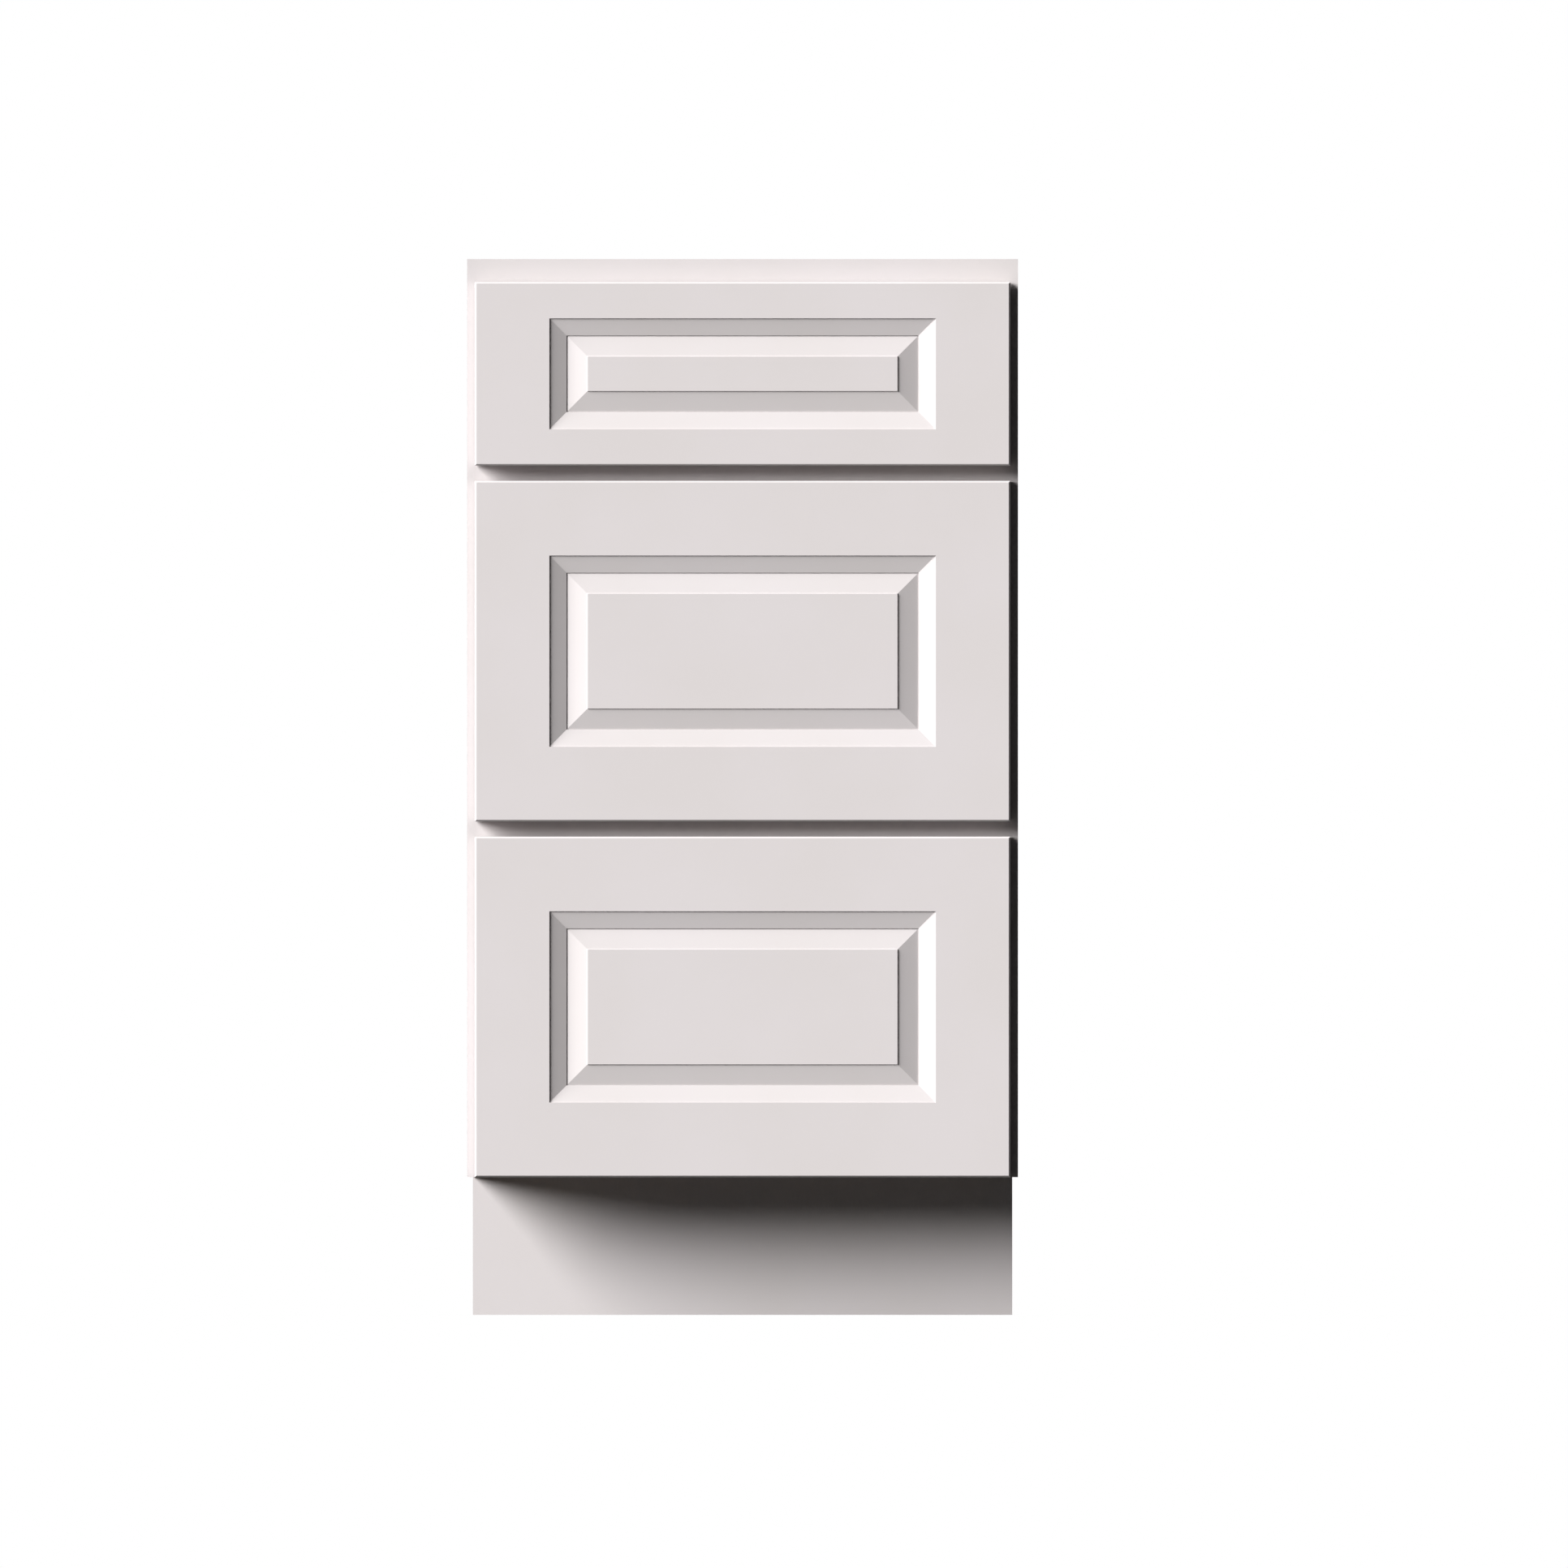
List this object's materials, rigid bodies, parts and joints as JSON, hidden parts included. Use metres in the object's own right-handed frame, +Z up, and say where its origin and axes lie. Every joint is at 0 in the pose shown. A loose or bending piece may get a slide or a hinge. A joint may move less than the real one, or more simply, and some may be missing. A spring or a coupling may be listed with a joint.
{
  "type": "base cabinet with drawers",
  "caption": "Painted face-frame kitchen base cabinet with raised-panel drawer fronts, dovetailed drawer boxes, full-extension undermount slides and a recessed toe kick.",
  "frame": {"origin": "middle of the cabinet's footprint, on the floor", "axes": "+Z up, -Y towards the drawer fronts, +X to the right seen from the front"},
  "size_m": [0.4572, 0.6302, 0.8763],
  "materials": {
    "painted_hardwood": "linen white paint, satin",
    "case_side_plywood": "plywood, painted linen white outside, clear coated birch inside",
    "case_plywood": "clear coated birch plywood",
    "drawer_maple": "clear coated maple",
    "drawer_bottom_plywood": "clear coated plywood",
    "slide_steel": "zinc plated sheet",
    "zinc_screws": "zinc plated",
    "cage_plastic": "natural acetal, with steel-grey rollers",
    "bracket_plastic": "moulded, light grey",
    "clip_plastic": "moulded, mid grey",
    "lever_plastic": "moulded, dark grey",
    "clear_bumper": "clear soft plastic"
  },
  "bodies": {
    "cabinet": {"face_frame_left_stile": "painted_hardwood", "face_frame_right_stile": "painted_hardwood", "face_frame_top_rail": "painted_hardwood", "face_frame_upper_rail": "painted_hardwood", "face_frame_lower_rail": "painted_hardwood", "face_frame_bottom_rail": "painted_hardwood", "toe_kick_board": "painted_hardwood", "left_side_panel": "case_side_plywood", "right_side_panel": "case_side_plywood", "bottom_panel": "case_plywood", "back_panel": "case_plywood", "corner_blocks": "case_plywood", "bumper_pads": "clear_bumper", "slide_rear_brackets": "bracket_plastic", "slide_screws": "zinc_screws", "upper_drawer_slide_rails": "slide_steel", "middle_drawer_slide_rails": "slide_steel", "lower_drawer_slide_rails": "slide_steel"},
    "upper_drawer": {"upper_drawer_front_stiles": "painted_hardwood", "upper_drawer_front_rails": "painted_hardwood", "upper_drawer_front_panel": "painted_hardwood", "upper_drawer_box_front": "drawer_maple", "upper_drawer_box_back": "drawer_maple", "upper_drawer_box_sides": "drawer_maple", "upper_drawer_box_bottom": "drawer_bottom_plywood", "upper_drawer_front_screws": "zinc_screws", "upper_drawer_slide_runners": "slide_steel", "upper_drawer_locking_clips": "clip_plastic"},
    "upper_slide_beams": {"upper_drawer_slide_beams": "slide_steel"},
    "upper_base_cages": {"upper_drawer_base_roller_cages": "cage_plastic"},
    "upper_top_cages": {"upper_drawer_top_roller_cages": "cage_plastic"},
    "upper_release_levers": {"upper_drawer_release_levers": "lever_plastic"},
    "middle_drawer": {"middle_drawer_front_stiles": "painted_hardwood", "middle_drawer_front_rails": "painted_hardwood", "middle_drawer_front_panel": "painted_hardwood", "middle_drawer_box_front": "drawer_maple", "middle_drawer_box_back": "drawer_maple", "middle_drawer_box_sides": "drawer_maple", "middle_drawer_box_bottom": "drawer_bottom_plywood", "middle_drawer_front_screws": "zinc_screws", "middle_drawer_slide_runners": "slide_steel", "middle_drawer_locking_clips": "clip_plastic"},
    "middle_slide_beams": {"middle_drawer_slide_beams": "slide_steel"},
    "middle_base_cages": {"middle_drawer_base_roller_cages": "cage_plastic"},
    "middle_top_cages": {"middle_drawer_top_roller_cages": "cage_plastic"},
    "middle_release_levers": {"middle_drawer_release_levers": "lever_plastic"},
    "lower_drawer": {"lower_drawer_front_stiles": "painted_hardwood", "lower_drawer_front_rails": "painted_hardwood", "lower_drawer_front_panel": "painted_hardwood", "lower_drawer_box_front": "drawer_maple", "lower_drawer_box_back": "drawer_maple", "lower_drawer_box_sides": "drawer_maple", "lower_drawer_box_bottom": "drawer_bottom_plywood", "lower_drawer_front_screws": "zinc_screws", "lower_drawer_slide_runners": "slide_steel", "lower_drawer_locking_clips": "clip_plastic"},
    "lower_slide_beams": {"lower_drawer_slide_beams": "slide_steel"},
    "lower_base_cages": {"lower_drawer_base_roller_cages": "cage_plastic"},
    "lower_top_cages": {"lower_drawer_top_roller_cages": "cage_plastic"},
    "lower_release_levers": {"lower_drawer_release_levers": "lever_plastic"}
  },
  "joints": [
    {"name": "upper_drawer_slide", "type": "slide", "parent": "cabinet", "child": "upper_drawer", "axis": [0, -1, 0], "range_m": [0, 0.5334]},
    {"name": "upper_slide_beams_slide", "type": "slide", "parent": "cabinet", "child": "upper_slide_beams", "axis": [0, -1, 0], "range_m": [0, 0.2667]},
    {"name": "upper_base_cages_slide", "type": "slide", "parent": "cabinet", "child": "upper_base_cages", "axis": [0, -1, 0], "range_m": [0, 0.13335]},
    {"name": "upper_top_cages_slide", "type": "slide", "parent": "cabinet", "child": "upper_top_cages", "axis": [0, -1, 0], "range_m": [0, 0.40005]},
    {"name": "upper_release_pivot", "type": "hinge", "parent": "upper_drawer", "child": "upper_release_levers", "pos_m": [0, -0.2502, 0.73655], "axis": [-1, 0, 0], "range_deg": [0, 12], "stiffness_Nm_per_rad": 0.3},
    {"name": "middle_drawer_slide", "type": "slide", "parent": "cabinet", "child": "middle_drawer", "axis": [0, -1, 0], "range_m": [0, 0.5334]},
    {"name": "middle_slide_beams_slide", "type": "slide", "parent": "cabinet", "child": "middle_slide_beams", "axis": [0, -1, 0], "range_m": [0, 0.2667]},
    {"name": "middle_base_cages_slide", "type": "slide", "parent": "cabinet", "child": "middle_base_cages", "axis": [0, -1, 0], "range_m": [0, 0.13335]},
    {"name": "middle_top_cages_slide", "type": "slide", "parent": "cabinet", "child": "middle_top_cages", "axis": [0, -1, 0], "range_m": [0, 0.40005]},
    {"name": "middle_release_pivot", "type": "hinge", "parent": "middle_drawer", "child": "middle_release_levers", "pos_m": [0, -0.2502, 0.44127], "axis": [-1, 0, 0], "range_deg": [0, 12], "stiffness_Nm_per_rad": 0.3},
    {"name": "lower_drawer_slide", "type": "slide", "parent": "cabinet", "child": "lower_drawer", "axis": [0, -1, 0], "range_m": [0, 0.5334]},
    {"name": "lower_slide_beams_slide", "type": "slide", "parent": "cabinet", "child": "lower_slide_beams", "axis": [0, -1, 0], "range_m": [0, 0.2667]},
    {"name": "lower_base_cages_slide", "type": "slide", "parent": "cabinet", "child": "lower_base_cages", "axis": [0, -1, 0], "range_m": [0, 0.13335]},
    {"name": "lower_top_cages_slide", "type": "slide", "parent": "cabinet", "child": "lower_top_cages", "axis": [0, -1, 0], "range_m": [0, 0.40005]},
    {"name": "lower_release_pivot", "type": "hinge", "parent": "lower_drawer", "child": "lower_release_levers", "pos_m": [0, -0.2502, 0.1714], "axis": [-1, 0, 0], "range_deg": [0, 12], "stiffness_Nm_per_rad": 0.3}
  ],
  "couplings": [
    {"joint": "upper_slide_beams_slide", "follows": "upper_drawer_slide", "ratio": 0.5},
    {"joint": "upper_base_cages_slide", "follows": "upper_drawer_slide", "ratio": 0.25},
    {"joint": "upper_top_cages_slide", "follows": "upper_drawer_slide", "ratio": 0.75},
    {"joint": "middle_slide_beams_slide", "follows": "middle_drawer_slide", "ratio": 0.5},
    {"joint": "middle_base_cages_slide", "follows": "middle_drawer_slide", "ratio": 0.25},
    {"joint": "middle_top_cages_slide", "follows": "middle_drawer_slide", "ratio": 0.75},
    {"joint": "lower_slide_beams_slide", "follows": "lower_drawer_slide", "ratio": 0.5},
    {"joint": "lower_base_cages_slide", "follows": "lower_drawer_slide", "ratio": 0.25},
    {"joint": "lower_top_cages_slide", "follows": "lower_drawer_slide", "ratio": 0.75}
  ]
}
